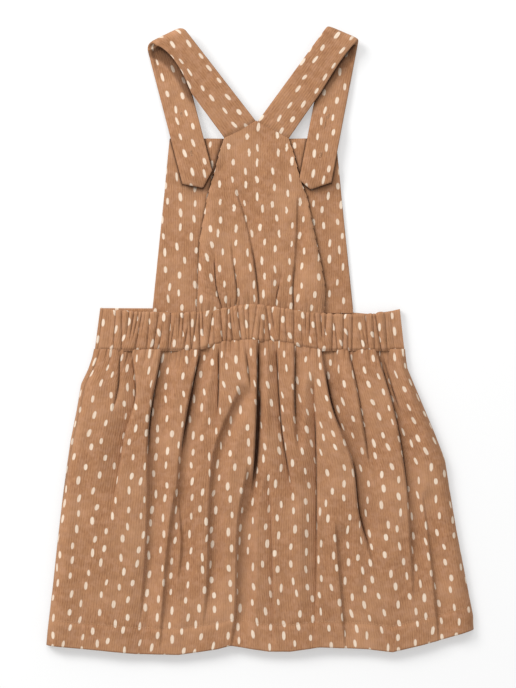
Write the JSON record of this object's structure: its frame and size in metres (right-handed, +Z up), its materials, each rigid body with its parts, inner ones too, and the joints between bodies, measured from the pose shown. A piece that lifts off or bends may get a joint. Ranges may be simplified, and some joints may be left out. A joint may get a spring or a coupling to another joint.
{
  "type": "pinafore dress",
  "caption": "Toddler's corduroy pinafore dress laid flat, back up, with a gathered skirt, an elasticated back waist, a bib and button-on straps folded over at the shoulders.",
  "frame": {"origin": "on the surface that the dress lies on, at the middle of its outline", "axes": "+Z up, out of the back of the dress; +Y from the hem to the straps; +X to the right as the back is looked at"},
  "size_m": [0.3406, 0.5012, 0.0131],
  "materials": {
    "corduroy": "fine-wale cotton corduroy, tan with cream oval spots, matt with a soft nap",
    "buttons": "brown moulded plastic, satin"
  },
  "bodies": {
    "root": {"skirt_front": "corduroy", "skirt_back": "corduroy", "waistband_front": "corduroy", "waistband_back": "corduroy", "bib_front": "corduroy", "bib_facing": "corduroy", "back_panel": "corduroy", "strap_left": "corduroy", "strap_right": "corduroy", "button_left_lower": "buttons", "button_left_upper": "buttons", "button_right_lower": "buttons", "button_right_upper": "buttons"}
  },
  "joints": []
}
